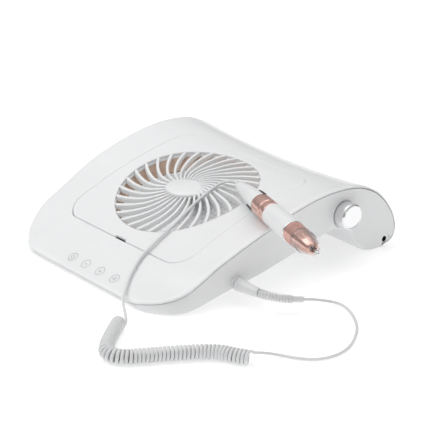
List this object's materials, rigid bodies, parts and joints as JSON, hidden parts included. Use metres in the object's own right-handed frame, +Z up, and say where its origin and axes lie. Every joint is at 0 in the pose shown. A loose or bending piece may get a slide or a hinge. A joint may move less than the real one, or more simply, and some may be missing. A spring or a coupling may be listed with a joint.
{
  "type": "nail dust collector",
  "caption": "Wave-shaped table-top nail dust collector with a suction fan behind a round pinwheel grille, and a plug-in drill handpiece on a curly cord.",
  "frame": {"origin": "centre of the front foot strip's lower face, on the table", "axes": "+X towards the side with the knob and sockets, +Y from the front lip to the rear roll, +Z up"},
  "size_m": [0.3689, 0.3501, 0.0838],
  "materials": {
    "white_plastic": "smooth white ABS, soft gloss",
    "key_plastic": "flush touch keys, grey printed rings",
    "duct_plastic": "natural ABS moulding",
    "motor_steel": "plated motor can",
    "bright_steel": "bright turned steel",
    "dark_plastic": "black moulded plastic",
    "tan_plastic": "tan moulded ring",
    "filter_mesh": "light grey woven filter",
    "circuit_board": "green solder mask",
    "chrome_trim": "polished chrome plating",
    "led_lens": "small clear lens",
    "foot_rubber": "black rubber strip",
    "cord_jacket": "pale soft PVC",
    "rose_gold": "rose gold anodised",
    "clear_plastic": "clear moulded cap"
  },
  "bodies": {
    "root": {"lower_shell": "white_plastic", "top_cover": "white_plastic", "touch_key_power": "key_plastic", "touch_key_minus": "key_plastic", "touch_key_plus": "key_plastic", "touch_key_light": "key_plastic", "fan_volute": "duct_plastic", "volute_lid": "duct_plastic", "fan_motor": "motor_steel", "fan_bearing": "bright_steel", "main_board": "circuit_board", "touch_board": "circuit_board", "case_screw_front_left": "bright_steel", "case_screw_rear_left": "bright_steel", "case_screw_front_right": "bright_steel", "case_screw_rear_right": "bright_steel", "speed_potentiometer": "motor_steel", "potentiometer_nut": "bright_steel", "knob_bezel": "chrome_trim", "dc_jack": "dark_plastic", "status_led": "led_lens", "handpiece_socket": "dark_plastic", "front_foot_strip": "foot_rubber", "rear_foot_strip": "foot_rubber", "cord_plug": "cord_jacket", "strain_relief": "cord_jacket", "cord_loop": "cord_jacket", "curly_cord_long": "cord_jacket", "curly_cord_bend": "cord_jacket", "curly_cord_short": "cord_jacket"},
    "filter_cover": {"filter_cover": "white_plastic", "fan_grille": "white_plastic"},
    "filter": {"filter_frame": "tan_plastic", "filter_media": "filter_mesh"},
    "fan": {"fan_impeller": "dark_plastic", "fan_shaft": "bright_steel"},
    "knob": {"speed_knob": "chrome_trim", "potentiometer_shaft": "bright_steel"},
    "handpiece": {"handpiece_boot": "white_plastic", "handpiece_rear_ring": "rose_gold", "handpiece_barrel": "white_plastic", "barrel_trim_ring": "chrome_trim", "handpiece_motor": "motor_steel", "nose_cone": "rose_gold", "front_bearing": "bright_steel", "cord_upper": "cord_jacket"},
    "lock_ring": {"lock_ring": "rose_gold"},
    "nose_cap": {"clear_nose_cap": "clear_plastic"},
    "spindle": {"chuck_spindle": "bright_steel", "drill_bit": "bright_steel"}
  },
  "joints": [
    {"name": "handpiece_lift", "type": "slide", "parent": "root", "child": "handpiece", "axis": [0, 0, 1], "range_m": [0, 0.12]},
    {"name": "filter_cover_lift", "type": "slide", "parent": "root", "child": "filter_cover", "axis": [0, 0, 1], "range_m": [0, 0.06]},
    {"name": "filter_lift", "type": "slide", "parent": "root", "child": "filter", "axis": [0, 0, 1], "range_m": [0, 0.03]},
    {"name": "fan_spin", "type": "hinge", "parent": "root", "child": "fan", "pos_m": [-0.0015, 0.11, 0.0216], "axis": [0, -0.2027, 0.9792], "continuous": true},
    {"name": "knob_turn", "type": "hinge", "parent": "root", "child": "knob", "pos_m": [0.12, 0.1886, 0.0485], "axis": [1, 0, 0], "range_deg": [-150, 150]},
    {"name": "lock_ring_twist", "type": "hinge", "parent": "handpiece", "child": "lock_ring", "pos_m": [0.0466, 0.1284, 0.0694], "axis": [0.9434, -0.3302, 0.03], "range_deg": [0, 60]},
    {"name": "nose_cap_pull", "type": "slide", "parent": "handpiece", "child": "nose_cap", "axis": [0.9434, -0.3302, 0.03], "range_m": [0, 0.05]},
    {"name": "bit_spin", "type": "hinge", "parent": "handpiece", "child": "spindle", "pos_m": [0.0466, 0.1284, 0.0694], "axis": [0.9434, -0.3302, 0.03], "continuous": true}
  ],
  "couplings": [
    {"joint": "filter_cover_lift", "follows": "handpiece_lift", "ratio": 0.5},
    {"joint": "filter_lift", "follows": "handpiece_lift", "ratio": 0.25}
  ]
}
